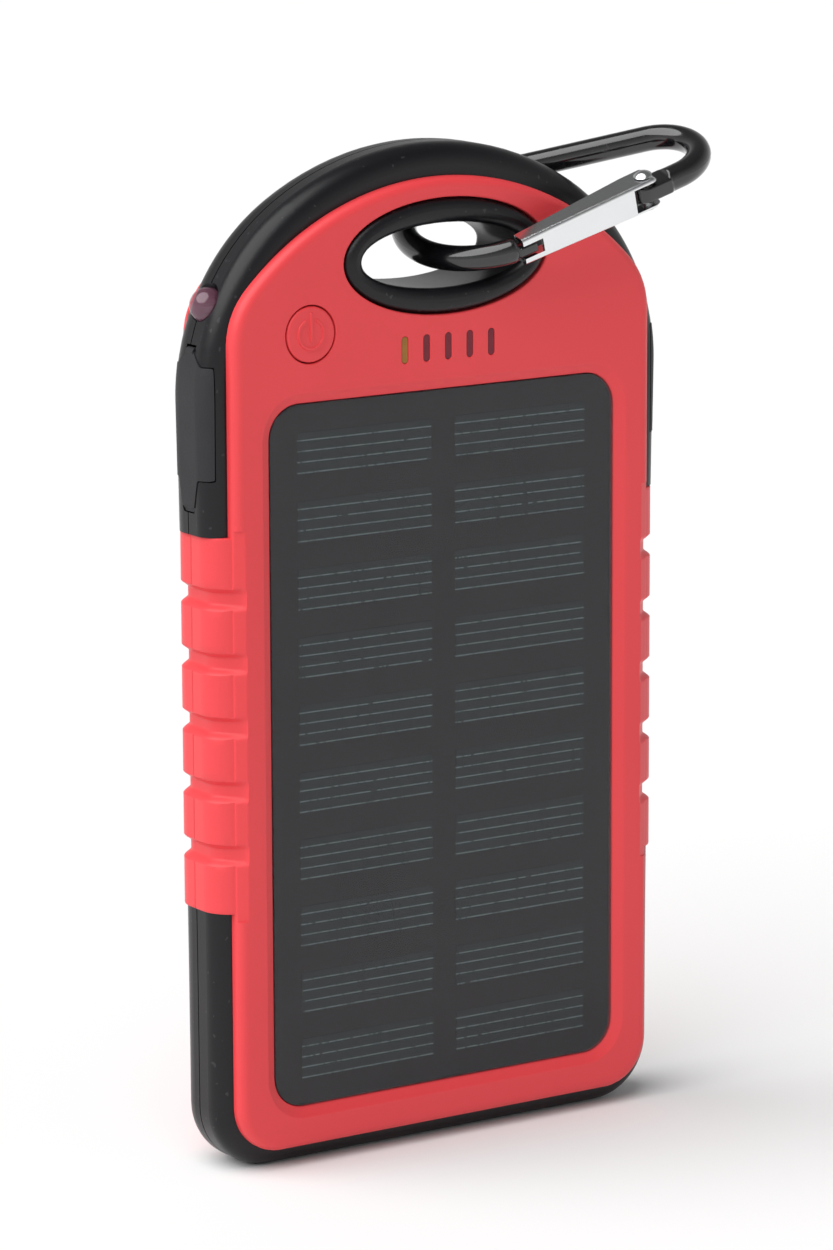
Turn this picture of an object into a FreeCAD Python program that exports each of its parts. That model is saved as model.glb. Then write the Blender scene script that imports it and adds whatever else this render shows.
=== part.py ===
"""Pocket solar charger with a carabiner: one solid per real piece, millimetres.

+X runs to the right seen from the front, +Y to the back, +Z up.  The origin is the centre of the
flat bottom edge.  The solar panel faces -Y, and the two case shells meet on a plane near Y = 0.
"""
import FreeCAD, Part
import math
import os

Vec = FreeCAD.Vector

# ---- case: outline seen from the front ------------------------------------------------------
HEIGHT = 142.0
HALF_W = 38.1            # widest, at the shoulders
HALF_W_LOW = 37.1        # at the bottom
TOP_R = 44.0             # crown of the case
SHOULDER_R = 31.3
CORNER_R = 9.0
# ---- case: depth -----------------------------------------------------------------------------
FRONT_Y = -7.0           # face of the front cover
BACK_Y = 7.0
LEDGE_FRONT_Y = -5.0     # the black shells stop here and the red covers lie on them
LEDGE_BACK_Y = 5.6
PART_Y = 0.3             # where the shells meet
SHELL_ROUND_FRONT = 3.0
SHELL_ROUND_BACK = 4.0
SEAM = 0.2               # half height and depth of the seam groove
# ---- red covers --------------------------------------------------------------------------------
COVER_HALF_W = 34.8
COVER_Z = (2.7, 137.5)
COVER_SHOULDER_R = 11.0
COVER_CORNER_R = 7.0
COVER_EDGE = 1.4
# ---- rubbery finger grips on both sides ----------------------------------------------------------
GRIP_Z = (37.6, 90.4)
GRIP_X = (33.5, 37.5)
GRIP_FLAT = 1.8          # half depth of the flat side
GRIP_ROUND = 4.5
GROOVES = 5
GROOVE_PITCH = 8.97
GROOVE_FLOOR = 0.75      # half heights of the groove's floor and mouth
GROOVE_MOUTH = 1.7
GROOVE_DEPTH = 1.1
# ---- solar panel ---------------------------------------------------------------------------------
PANEL_HALF_W = 28.8
PANEL_Z = (8.5, 108.0)
PANEL_CORNER_R = 4.8
PANEL_Y = -6.3           # front of the clear cover
BEVEL = 1.4              # sloping border of the window
CELL_W = 22.0
CELL_H = 5.8
CELL_PITCH = 9.53
CELL_TOP = 103.9
CELL_X = (-24.0, 2.0)    # left edges of the two columns
CELL_ROWS = 10
# ---- eyelet ----------------------------------------------------------------------------------------
EYE_Z = 126.6
EYE_OUT = (16.8, 8.0)
EYE_HOLE = (13.7, 4.5)
EYE_Y = -7.4
EYE_ROUND = 1.5
# ---- controls and lamps ------------------------------------------------------------------------------
BUTTON = (-22.4, 117.5)
BUTTON_R = 3.85
BUTTON_GAP = 0.25
BUTTON_FACE_Y = -7.1
SLOTS = 5
SLOT_PITCH = 3.6
SLOT_X = 0.2
SLOT_Z = (112.1, 115.9)
SLOT_W = 1.1
LED_AXIS = (-0.825, 0.565)   # direction of the torch lamp from the crown's centre, in X and Z
LED_R = 2.5
LED_DOME_AT = 41.9
LED_FLANGE_AT = 35.4     # the lamp's collar lies in the case from here
LED_SEAT_FROM = 35.0
LED_LEADS = (31.6, 36.0)
LED_PLAY = 0.1
ICON_RING = (1.85, 2.2)  # power sign: radii of its ring, and the bar through the ring's gap
ICON_BAR = (-1.0, 3.0)
ICON_BAR_W = 0.45
ICON_GAP = 0.8
FLANGE_Y = (-4.9, -4.3)  # rim that keeps the button behind the cover
STALK_R = 1.2
PLUNGER_R = 1.6
# ---- sockets and their flaps, at the same height on both sides ---------------------------------------
PORT_Z = 106.0
FLAP_Z = (93.6, 98.2, 113.7, 115.6)   # tip, lower and upper edge of the wide part, hinge
FLAP_HALF = (1.3, 2.4, 5.0, 2.9, 0.9)
FLAP_X = 36.5            # inner face of the flap
FLAP_PROUD = 0.12
HINGE_X = 37.0
KNUCKLE_R = 0.6
KNUCKLE_ROOM = 0.35      # round the hinge, for the flap's corners as it lifts
FLAP_PLAY = 0.15
SOCKET_X = 35.2          # mouth of either socket
USB_HALF = (6.55, 2.85, 14.0, 0.35)      # half height, half depth, length and sheet
MICRO_HALF = (3.9, 1.4, 5.6, 0.3)
# ---- inside ------------------------------------------------------------------------------------------
CAVITY_Y = (-3.8, 4.4)
CAVITY_HALF_W = 31.2
BOARD_Y = (2.95, 3.95)
SCREWS = [(33.0, 12.0), (33.0, 94.2), (25.0, 128.0)]
SCREW_R = 1.0
HEAD_R = 1.9
HEAD_Y = (4.3, 5.4)
CROSS = (1.2, 0.22)      # half length and half width of a screw's cross slot
CELL_BODY = ((-29.0, 29.0), (-3.1, 3.4), (6.0, 84.0))
CELL_ROUND = 2.2
WIRE_R = 0.6
THIN_WIRE_R = 0.4
# ---- carabiner: a rod bent round two circles, closed by a sprung gate -----------------------------------
ROD_R = 1.8
NEAR_R = 11.4
FAR_R = 6.4
SPAN = 25.9
LOOP_AT = Vec(11.2, 0.4, 130.5)        # centre of the large bend
LOOP_LONG = Vec(0.926, -0.293, 0.274)  # from the large bend to the small one
LOOP_FRONT = Vec(-0.215, -0.914, -0.305)
NOSE_BACK = 2.0          # the rod's end stops this far round the large bend
RIVET_BACK = 5.7         # from the small bend to the rivet
TAB_LENGTH = 3.6         # flattened part of the rod, up to the rivet
GATE_HALF_W = (2.0, 2.4)
SHEET = 0.6
PIN_R = 0.75
PIN_PLAY = 0.05
TAB_R = 2.0
TAB_HALF = 1.2           # half thickness of the flattened rod end
SPRING_R = 1.15
SPRING_WIRE = 0.16


def box(x, y, z):
    """Box between the pairs x, y and z."""
    size = [max(pair) - min(pair) for pair in (x, y, z)]
    return Part.makeBox(*size, Vec(min(x), min(y), min(z)))


def cylinder_y(x, z, radius, y):
    return Part.makeCylinder(radius, y[1] - y[0], Vec(x, y[0], z), Vec(0, 1, 0))


def mirror_x(shape):
    return shape.mirror(Vec(0, 0, 0), Vec(1, 0, 0))


def both_sides(shape):
    return [shape, mirror_x(shape)]


def prism(wire, direction):
    return Part.Face(wire).extrude(direction)


def rounded(points, radii):
    """Closed wire through points whose corners are rounded; a radius of 0 keeps a corner sharp."""
    edges = []
    ends = []
    count = len(points)
    for i, corner in enumerate(points):
        before = (points[i - 1] - corner).normalize()
        after = (points[(i + 1) % count] - corner).normalize()
        half = before.getAngle(after) / 2
        reach = radii[i] / math.tan(half)
        a, b = corner + before * reach, corner + after * reach
        if radii[i]:
            bisector = (before + after).normalize()
            middle = corner + bisector * (radii[i] / math.sin(half) - radii[i])
            edges.append(Part.Arc(a, middle, b).toShape())
        ends.append((a, b))
    for i in range(count):
        a, b = ends[i][1], ends[(i + 1) % count][0]
        if a.distanceToPoint(b) > 1e-6:
            edges.append(Part.makeLine(a, b))
    return Part.Wire(Part.__sortEdges__(edges))


def rounded_rect(x, z, radius, y):
    corners = [Vec(x[0], y, z[0]), Vec(x[1], y, z[0]), Vec(x[1], y, z[1]), Vec(x[0], y, z[1])]
    return rounded(corners, [radius] * 4)


def outline(half, half_low, z, crown_r, shoulder_r, corner_r, y, inset=0.0):
    """Case outline: crown arc, shoulder arcs, slightly bowed sides, rounded bottom corners."""
    crown_z = z[1] - crown_r
    shoulder_x = half - shoulder_r
    shoulder_z = crown_z + math.sqrt((crown_r - shoulder_r) ** 2 - shoulder_x ** 2)
    lean = math.atan2(shoulder_x, shoulder_z - crown_z)
    top = Vec(0, y, z[1] - inset)
    join = Vec(math.sin(lean), 0, math.cos(lean)) * (crown_r - inset) + Vec(0, y, crown_z)
    turn = (lean + math.pi / 2) / 2
    mid = Vec(math.sin(turn), 0, math.cos(turn)) * (shoulder_r - inset) + Vec(shoulder_x, y, shoulder_z)
    side = Vec(half - inset, y, shoulder_z)
    waist = Vec(half_low + (half - half_low) * 0.25 - inset, y, (shoulder_z + z[0]) / 2)
    low = Vec(half_low - inset, y, z[0] + corner_r)
    turn_r = (corner_r - inset) * math.sqrt(0.5)
    corner = Vec(half_low - corner_r + turn_r, y, z[0] + corner_r - turn_r)
    foot = Vec(half_low - corner_r, y, z[0] + inset)
    flip = [Vec(-p.x, p.y, p.z) for p in (join, mid, side, waist, low, corner, foot)]
    edges = [
        Part.Arc(flip[0], top, join).toShape(),
        Part.Arc(join, mid, side).toShape(),
        Part.Arc(low, corner, foot).toShape(),
        Part.makeLine(foot, flip[6]),
        Part.Arc(flip[6], flip[5], flip[4]).toShape(),
        Part.Arc(flip[2], flip[1], flip[0]).toShape(),
    ]
    if half > half_low:
        edges += [Part.Arc(side, waist, low).toShape(), Part.Arc(flip[4], flip[3], flip[2]).toShape()]
    else:
        edges += [Part.makeLine(side, low), Part.makeLine(flip[4], flip[2])]
    return Part.Wire(Part.__sortEdges__(edges))


def shell_outline(y, inset=0.0):
    return outline(HALF_W, HALF_W_LOW, (0, HEIGHT), TOP_R, SHOULDER_R, CORNER_R, y, inset)


def cover_outline(y):
    return outline(COVER_HALF_W, COVER_HALF_W, COVER_Z, TOP_R, COVER_SHOULDER_R, COVER_CORNER_R, y)


def edges_at_y(shape, y):
    """Edges that lie wholly in the plane of one depth."""
    return [e for e in shape.Edges if abs(e.BoundBox.YMin - y) < 1e-4 and abs(e.BoundBox.YMax - y) < 1e-4]


def ellipse(radii, y):
    curve = Part.Ellipse(Vec(radii[0], y, EYE_Z), Vec(0, y, EYE_Z + radii[1]), Vec(0, y, EYE_Z))
    return Part.Wire(curve.toShape())


def black_block(proud=0.0):
    """Both shells as one solid block, rounded along its front and back edges."""
    depth = LEDGE_BACK_Y - LEDGE_FRONT_Y
    block = prism(shell_outline(LEDGE_FRONT_Y, -proud), Vec(0, depth, 0))
    block = block.makeFillet(SHELL_ROUND_FRONT, edges_at_y(block, LEDGE_FRONT_Y))
    return block.makeFillet(SHELL_ROUND_BACK, edges_at_y(block, LEDGE_BACK_Y))


def seam_ring():
    """Shallow groove that marks the joint between the shells."""
    start = PART_Y - SEAM / 2
    outer = prism(shell_outline(start, -1.0), Vec(0, SEAM, 0))
    return outer.cut(prism(shell_outline(start, SEAM), Vec(0, SEAM, 0)))


def eyelet_hole():
    return prism(ellipse(EYE_HOLE, -10), Vec(0, 20, 0))


def eyelet_ring(y0, y1, grow=0.0):
    radii = (EYE_OUT[0] + grow, EYE_OUT[1] + grow)
    return prism(ellipse(radii, y0), Vec(0, y1 - y0, 0))


def rounded_ring(y0, y1, face):
    """Eyelet collar whose rim at depth face is rounded into the hole and down its outside."""
    disc = eyelet_ring(y0, y1)
    disc = disc.makeFillet(EYE_ROUND, edges_at_y(disc, face))
    holed = box((-20, 20), (y0, y1), (EYE_Z - 10, EYE_Z + 10)).cut(eyelet_hole())
    mouth = [e for e in edges_at_y(holed, face) if e.BoundBox.XLength < 2 * EYE_HOLE[0] + 1]
    return disc.common(holed.makeFillet(EYE_ROUND, [e for e in mouth if e.BoundBox.ZLength < 10]))


def grip_zone(y):
    return [box((side * GRIP_X[0], side * 45), y, GRIP_Z) for side in (-1, 1)]


def stadium(x, z, width, y):
    """Upright slot with round ends."""
    return prism(rounded_rect((x - width / 2, x + width / 2), z, width / 2 - 0.001, y[0]),
                 Vec(0, y[1] - y[0], 0))


def slot_x(i):
    return SLOT_X + SLOT_PITCH * (i - (SLOTS - 1) / 2)


def led_point(reach):
    return Vec(LED_AXIS[0] * reach, 0, HEIGHT - TOP_R + LED_AXIS[1] * reach)


def led_cylinder(radius, start, end):
    axis = Vec(LED_AXIS[0], 0, LED_AXIS[1])
    return Part.makeCylinder(radius, end - start, led_point(start), axis)


def led_seat():
    axis = Vec(LED_AXIS[0], 0, LED_AXIS[1])
    flare = Part.makeCone(LED_R + LED_PLAY, LED_R + 1.3, 2.4, led_point(42.0), axis)
    room = led_cylinder(2.0, 28.0, LED_LEADS[1])
    collar = led_cylinder(3.1, LED_SEAT_FROM, 36.6)
    return [led_cylinder(LED_R + LED_PLAY, LED_SEAT_FROM, 46.0), collar, flare, room]


def screw_places():
    return [(side * x, z) for x, z in SCREWS for side in (-1, 1)]


def cavity():
    """Room inside the shells for the cell and the board."""
    parts = [
        prism(rounded_rect((-CAVITY_HALF_W, CAVITY_HALF_W), (3.0, 91.6), 4.0, CAVITY_Y[0]),
              Vec(0, CAVITY_Y[1] - CAVITY_Y[0], 0)),
        box((-30.5, 30.5), CAVITY_Y, (90.0, 119.6)),
        box((-35.3, 35.3), CAVITY_Y, (97.0, 113.2)),
    ]
    parts += both_sides(box((18.6, 30.5), CAVITY_Y, (119.0, 123.4)))
    return parts[0].multiFuse(parts[1:])


# ---- flaps over the sockets ----------------------------------------------------------------------------
def flap_prism(grow=0.0):
    """Outline of a socket flap on the left side, as a prism through the wall."""
    tip, low, high, hinge = FLAP_Z
    narrow, neck, wide, upper, top = [h + grow for h in FLAP_HALF]
    half = [(narrow, tip - grow), (neck, low - grow), (wide, low - grow), (wide, high + grow),
            (upper, high + grow), (top, hinge)]
    radii = [0.6, 0.5, 1.0, 1.0, 0.5, 0.0]
    points = [Vec(-42, y, z) for y, z in half] + [Vec(-42, -y, z) for y, z in reversed(half)]
    return prism(rounded(points, radii + radii[::-1]), Vec(42 - 30, 0, 0))


def hinge_cylinder(radius, half):
    return Part.makeCylinder(radius, 2 * half, Vec(-HINGE_X, -half, FLAP_Z[3]), Vec(0, 1, 0))


def flap_pocket():
    """What a flap needs out of the left wall, with a little room all round."""
    pocket = flap_prism(FLAP_PLAY).common(box((-45, -FLAP_X + FLAP_PLAY), (-9, 9), (80, 125)))
    return [pocket, hinge_cylinder(KNUCKLE_R + KNUCKLE_ROOM, FLAP_HALF[4] + 0.3)]


def flap(plug_z, plug_y):
    plate = flap_prism().common(black_block(FLAP_PROUD))
    plate = plate.common(box((-45, -FLAP_X), (-9, 9), (80, FLAP_Z[3])))
    nail = Part.makeCylinder(0.7, 4, Vec(-38.4, -2, FLAP_Z[0] + 0.2), Vec(0, 1, 0))
    plug = box((-FLAP_X - 0.2, -34.9), plug_y, plug_z)
    plug = plug.makeChamfer(0.35, [e for e in plug.Edges if e.BoundBox.XMin > -35])
    knuckle = hinge_cylinder(KNUCKLE_R, FLAP_HALF[4])
    return plate.cut(nail).multiFuse([plug, knuckle]).removeSplitter()


# ---- shells and covers ---------------------------------------------------------------------------------
def shell_cuts():
    cuts = [cavity(), eyelet_hole(), seam_ring()] + grip_zone((-9, 9)) + led_seat()
    cuts += flap_pocket() + [mirror_x(part) for part in flap_pocket()]
    cuts.append(box((-37, -35), (-2.6, 2.6), (PORT_Z - 6.3, PORT_Z + 6.3)))
    cuts.append(box((35, 37), (-1.6, 1.6), (PORT_Z - 4.1, PORT_Z + 4.1)))
    return cuts


def front_shell():
    block = black_block().common(box((-50, 50), (-9, PART_Y), (-1, 150)))
    shell = block.cut(eyelet_hole()).fuse(rounded_ring(EYE_Y, -4.0, EYE_Y))
    cuts = shell_cuts()
    cuts.append(cylinder_y(*BUTTON, BUTTON_R + 0.95, (-6, -3)))
    cuts.append(box((slot_x(0) - 1.2, slot_x(SLOTS - 1) + 1.2), (-6, -3), (SLOT_Z[0] - 0.6, SLOT_Z[1] + 0.6)))
    cuts.append(box((-3.0, 3.0), (-6, -3), (100.0, 103.0)))
    cuts += [cylinder_y(x, z, SCREW_R, (-3.2, 2)) for x, z in screw_places()]
    return shell.cut(cuts)


def rear_shell():
    block = black_block().common(box((-50, 50), (PART_Y, 9), (-1, 150)))
    cuts = shell_cuts()
    for x, z in screw_places():
        cuts += [cylinder_y(x, z, SCREW_R + 0.1, (-2, 6)), cylinder_y(x, z, HEAD_R + 0.15, (HEAD_Y[0], 6))]
    return block.fuse(rounded_ring(4.8, BACK_Y, BACK_Y)).cut([eyelet_hole()] + cuts)


def grip_block(sign, ledge):
    """Right-hand grip, front half for sign -1 and back half for sign +1, before its grooves."""
    x0, x1 = GRIP_X
    mid_x = x1 - GRIP_ROUND
    turn = GRIP_ROUND * math.sqrt(0.5)
    z = GRIP_Z[0]
    flat = Vec(x1, sign * GRIP_FLAT, z)
    middle = Vec(mid_x + turn, sign * (GRIP_FLAT + turn), z)
    front = Vec(mid_x, sign * (GRIP_FLAT + GRIP_ROUND), z)
    inner = [Vec(mid_x, ledge, z), Vec(x0, ledge, z), Vec(x0, PART_Y, z), Vec(x1, PART_Y, z), flat]
    edges = [Part.Arc(flat, middle, front).toShape(), Part.makePolygon([front] + inner)]
    wire = Part.Wire(Part.__sortEdges__([edges[0]] + edges[1].Edges))
    return prism(wire, Vec(0, 0, GRIP_Z[1] - GRIP_Z[0]))


def groove_wire(z, depth):
    """Section of the groove cutter; depth 0 just touches the grip's skin."""
    share = depth / GROOVE_DEPTH
    end = Vec(33.3 - 0.5 * share, -7.05, z)
    middle = Vec(36.0 - 1.0 * share, -5.3 + 0.8 * share, z)
    side = Vec(GRIP_X[1] + 0.03 - depth, -GRIP_FLAT, z)
    flip = [Vec(p.x, -p.y, z) for p in (side, middle, end)]
    edges = [Part.Arc(end, middle, side).toShape(), Part.makeLine(side, flip[0]),
             Part.Arc(*flip).toShape()]
    edges += Part.makePolygon([flip[2], Vec(41, 9, z), Vec(41, -9, z), end]).Edges
    return Part.Wire(edges)


def grooves():
    tools = []
    middle = (GRIP_Z[0] + GRIP_Z[1]) / 2
    for i in range(GROOVES):
        z = middle - 0.1 + GROOVE_PITCH * (i - (GROOVES - 1) / 2)
        wires = [groove_wire(z - GROOVE_MOUTH, 0), groove_wire(z - GROOVE_FLOOR, GROOVE_DEPTH),
                 groove_wire(z + GROOVE_FLOOR, GROOVE_DEPTH), groove_wire(z + GROOVE_MOUTH, 0)]
        tools += both_sides(Part.makeLoft(wires, True, True))
    return tools


def cover_plate(y0, y1, face):
    plate = prism(cover_outline(y0), Vec(0, y1 - y0, 0))
    return plate.makeFillet(min(COVER_EDGE, y1 - y0 - 0.2), edges_at_y(plate, face))


def window():
    """Panel window with a sloping border."""
    x = (-PANEL_HALF_W, PANEL_HALF_W)
    through = prism(rounded_rect(x, PANEL_Z, PANEL_CORNER_R, -9), Vec(0, 5, 0))
    wires = []
    for y, grow in ((FRONT_Y - 0.1, BEVEL + 0.1), (PANEL_Y + 0.1, 0.0)):
        wide = (x[0] - grow, x[1] + grow)
        tall = (PANEL_Z[0] - grow, PANEL_Z[1] + grow)
        wires.append(rounded_rect(wide, tall, PANEL_CORNER_R + grow, y))
    return [through, Part.makeLoft(wires, True, True)]


def front_cover():
    plate = cover_plate(FRONT_Y, LEDGE_FRONT_Y, FRONT_Y)
    cover = plate.multiFuse(both_sides(grip_block(-1, LEDGE_FRONT_Y)))
    cuts = window() + grooves() + [seam_ring(), eyelet_ring(-9, 0, 0.12)]
    cuts.append(cylinder_y(*BUTTON, BUTTON_R + BUTTON_GAP, (-9, 0)))
    cuts += [stadium(slot_x(i), SLOT_Z, SLOT_W, (-9, -4)) for i in range(SLOTS)]
    return cover.cut(cuts)


def rear_cover():
    plate = cover_plate(LEDGE_BACK_Y, BACK_Y, BACK_Y)
    cover = plate.multiFuse(both_sides(grip_block(1, LEDGE_BACK_Y)))
    return cover.cut(grooves() + [seam_ring(), eyelet_ring(0, 9, 0.12)])


# ---- solar panel -----------------------------------------------------------------------------------------
def panel_layer(y, shrink, corner=PANEL_CORNER_R):
    x = (-PANEL_HALF_W + shrink, PANEL_HALF_W - shrink)
    z = (PANEL_Z[0] + shrink, PANEL_Z[1] - shrink)
    return prism(rounded_rect(x, z, corner - shrink, y[0]), Vec(0, y[1] - y[0], 0))


def cell_boxes(y):
    return [box((x, x + CELL_W), y, (CELL_TOP - CELL_PITCH * row - CELL_H, CELL_TOP - CELL_PITCH * row))
            for x in CELL_X for row in range(CELL_ROWS)]


def panel_nodes():
    cells = cell_boxes((-5.9, -5.75))
    return {
        "panel_adhesive": panel_layer((-5.15, LEDGE_FRONT_Y), 2.0).cut(box((-4, 4), (-6, -4), (99, 104))),
        "solar_panel_board": panel_layer((-5.75, -5.15), 0.15),
        "solar_cells": Part.makeCompound(cells),
        "solar_panel_cover": panel_layer((PANEL_Y, -5.75), 0.1).cut(cells),
    }


# ---- controls, lamps and electronics ----------------------------------------------------------------------
def power_button():
    """Cap with a flange behind the cover and a stalk that reaches the switch."""
    cap = cylinder_y(*BUTTON, BUTTON_R, (BUTTON_FACE_Y, FLANGE_Y[0]))
    cap = cap.makeFillet(0.35, edges_at_y(cap, BUTTON_FACE_Y))
    x, z = BUTTON
    flange = cylinder_y(x, z, BUTTON_R + 0.75, FLANGE_Y)
    stalk = cylinder_y(x, z, STALK_R, (FLANGE_Y[1] - 0.1, -1.1))
    relief = (BUTTON_FACE_Y - 0.2, BUTTON_FACE_Y + 0.1)
    ring = cylinder_y(x, z, ICON_RING[1], relief).cut(cylinder_y(x, z, ICON_RING[0], (-8, -6)))
    ring = ring.cut(box((x - ICON_GAP, x + ICON_GAP), (-8, -6), (z, z + 3)))
    bar = stadium(x, (z + ICON_BAR[0], z + ICON_BAR[1]), ICON_BAR_W, relief)
    return cap.multiFuse([flange, stalk, ring, bar]).removeSplitter()


def switch_nodes():
    x, z = BUTTON
    body = box((x - 3, x + 3), (-0.5, BOARD_Y[0]), (z - 3, z + 3))
    body = body.cut(cylinder_y(x, z, PLUNGER_R + 0.15, (-1, 0.6)))
    return {"button_switch": body, "switch_plunger": cylinder_y(x, z, PLUNGER_R, (-1.1, 0.1))}


def light_guides():
    bars = [stadium(slot_x(i), (SLOT_Z[0] + 0.06, SLOT_Z[1] - 0.06), SLOT_W - 0.12, (-6.85, 1.6))
            for i in range(SLOTS)]
    web = box((slot_x(1) - 1.0, slot_x(4) + 1.0), (-4.6, -4.0), (SLOT_Z[0] - 0.3, SLOT_Z[1] + 0.3))
    return {"charge_light_guide": bars[0], "level_light_guide": web.multiFuse(bars[1:]).removeSplitter()}


def indicator_leds():
    z = (SLOT_Z[0] + SLOT_Z[1]) / 2
    return Part.makeCompound([box((slot_x(i) - 0.5, slot_x(i) + 0.5), (1.8, BOARD_Y[0]), (z - 1, z + 1))
                              for i in range(SLOTS)])


def torch_led():
    body = led_cylinder(LED_R, LED_FLANGE_AT + 1.0, LED_DOME_AT)
    flange = led_cylinder(2.9, LED_FLANGE_AT, LED_FLANGE_AT + 1.0)
    dome = Part.makeSphere(LED_R, led_point(LED_DOME_AT))
    leads = []
    for side in (-1, 1):
        start = led_point(LED_LEADS[0]) + Vec(0, side * 1.27, 0)
        length = LED_LEADS[1] - LED_LEADS[0]
        leads.append(Part.makeCylinder(0.25, length, start, Vec(LED_AXIS[0], 0, LED_AXIS[1])))
    return body.multiFuse([flange, dome] + leads).removeSplitter()


def main_board():
    board = box((-33.5, 33.5), BOARD_Y, (97.5, 112.8))
    tab = box((-28.5, 14.0), BOARD_Y, (112.0, 119.3))
    return board.fuse(tab).removeSplitter()


def socket_shell(side, half_z, half_y, depth, wall):
    """Folded metal shell of a socket whose mouth looks along side * X."""
    x = (side * (SOCKET_X - depth), side * SOCKET_X)
    outer = box(x, (-half_y, half_y), (PORT_Z - half_z, PORT_Z + half_z))
    room = box((side * (SOCKET_X - depth + wall), side * (SOCKET_X + 1)), (-half_y + wall, half_y - wall),
               (PORT_Z - half_z + wall, PORT_Z + half_z - wall))
    return outer.cut(room)


def socket_nodes():
    usb_back = -SOCKET_X + USB_HALF[2] - USB_HALF[3]
    micro_back = SOCKET_X - MICRO_HALF[2] + MICRO_HALF[3]
    tongue = box((usb_back - 10.5, usb_back), (0.1, 2.0), (PORT_Z - 5.3, PORT_Z + 5.3))
    micro = box((micro_back, micro_back + 3.9), (0.1, 0.7), (PORT_Z - 1.9, PORT_Z + 1.9))
    contacts = [box((usb_back - 9.5, usb_back), (-0.1, 0.1), (z - 0.5, z + 0.5))
                for z in [PORT_Z + 2.3 * (i - 1.5) for i in range(4)]]
    return {
        "usb_socket_shell": socket_shell(-1, *USB_HALF),
        "usb_socket_tongue": tongue,
        "usb_contacts": Part.makeCompound(contacts),
        "micro_usb_shell": socket_shell(1, *MICRO_HALF),
        "micro_usb_tongue": micro,
    }


def electronics_nodes():
    top = BOARD_Y[0]
    chips = [box((-16, -11), (top - 1.1, top), (104, 109)), box((-3, 1), (top - 0.9, top), (99, 103)),
             box((4, 9), (top - 1.0, top), (105, 109)), box((16, 19), (top - 0.9, top), (100, 103))]
    caps = [box((x, x + 1.2), (top - 1.0, top), (110.4, 112.4)) for x in (-14, -9, 12, 18, 22)]
    coil = box((-8.5, -2.5), (top - 3.0, top), (104, 110))
    coil = coil.makeChamfer(1.2, [e for e in coil.Edges if e.BoundBox.YLength > 2.9])
    return {"board_chips": Part.makeCompound(chips), "board_capacitors": Part.makeCompound(caps),
            "boost_inductor": coil}


def battery_nodes():
    cell = box(*CELL_BODY)
    cell = cell.makeFillet(CELL_ROUND, [e for e in cell.Edges if e.BoundBox.ZLength > 70])
    protection = box((-22.0, 22.0), (-1.0, 1.6), (84.0, 88.6))
    pad = box((-24.0, 24.0), (CAVITY_Y[0], CELL_BODY[1][0]), (12.0, 78.0))
    return {"battery_cell": cell, "battery_protection_board": protection, "battery_pad": pad}


def wire_run(points, radius):
    """Round wire through points, with a ball at each bend."""
    bits = [Part.makeSphere(radius, p) for p in points[1:-1]]
    for a, b in zip(points, points[1:]):
        bits.append(Part.makeCylinder(radius, a.distanceToPoint(b), a, b - a))
    return bits[0].multiFuse(bits[1:])


def wire_nodes():
    battery = [wire_run([Vec(x, 0.3, 88.6), Vec(x, 0.3, 93.0), Vec(x, 2.3, 97.0), Vec(x, 2.3, 101.0)], WIRE_R)
               for x in (9.0, 12.0)]
    solar = [wire_run([Vec(x, -4.9, 101.5), Vec(x, -2.6, 101.5), Vec(x, -1.6, 104.0),
                       Vec(x, BOARD_Y[0], 104.0)], THIN_WIRE_R)
             for x in (1.6, 2.6)]
    return {"battery_wires": Part.makeCompound(battery), "solar_wires": Part.makeCompound(solar)}


def case_screws():
    screws = []
    for x, z in screw_places():
        head = cylinder_y(x, z, HEAD_R, HEAD_Y)
        long, thin = CROSS
        bars = [box((x - a, x + a), (5.0, 6.0), (z - b, z + b)) for a, b in ((long, thin), (thin, long))]
        screws.append(head.cut(bars).fuse(cylinder_y(x, z, SCREW_R, (-3.0, HEAD_Y[0] + 0.1))))
    return Part.makeCompound(screws)


# ---- carabiner, built flat and then laid into place --------------------------------------------------------
def loop_frame():
    """Placement that carries the flat loop (long axis X, gate side Y) to where it hangs."""
    long_axis = Vec(LOOP_LONG).normalize()
    front = (LOOP_FRONT - long_axis * LOOP_FRONT.dot(long_axis)).normalize()
    normal = long_axis.cross(front)
    matrix = FreeCAD.Matrix(long_axis.x, front.x, normal.x, LOOP_AT.x,
                            long_axis.y, front.y, normal.y, LOOP_AT.y,
                            long_axis.z, front.z, normal.z, LOOP_AT.z, 0, 0, 0, 1)
    return FreeCAD.Placement(matrix)


def on_circle(centre_x, radius, angle):
    return Vec(centre_x + radius * math.cos(angle), radius * math.sin(angle), 0)


TANGENT = math.pi / 2 - math.asin((NEAR_R - FAR_R) / SPAN)
NEAR_TANGENT = on_circle(0, NEAR_R, TANGENT)
FAR_TANGENT = on_circle(SPAN, FAR_R, TANGENT)
GATE_SIDE = (NEAR_TANGENT - FAR_TANGENT).normalize()
NOSE = on_circle(0, NEAR_R, TANGENT + NOSE_BACK / NEAR_R)
RIVET = FAR_TANGENT + GATE_SIDE * RIVET_BACK
ROD_END = FAR_TANGENT + GATE_SIDE * (RIVET_BACK - TAB_LENGTH)
GATE_LEN = RIVET.distanceToPoint(NOSE)


def gate_frame():
    """Placement for pieces built along the gate: X from the rivet to the nose, Y out of the loop."""
    angle = math.degrees(math.atan2(NOSE.y - RIVET.y, NOSE.x - RIVET.x))
    turn = FreeCAD.Rotation(Vec(0, 0, 1), angle).multiply(FreeCAD.Rotation(Vec(1, 0, 0), 180))
    return FreeCAD.Placement(RIVET, turn)


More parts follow.
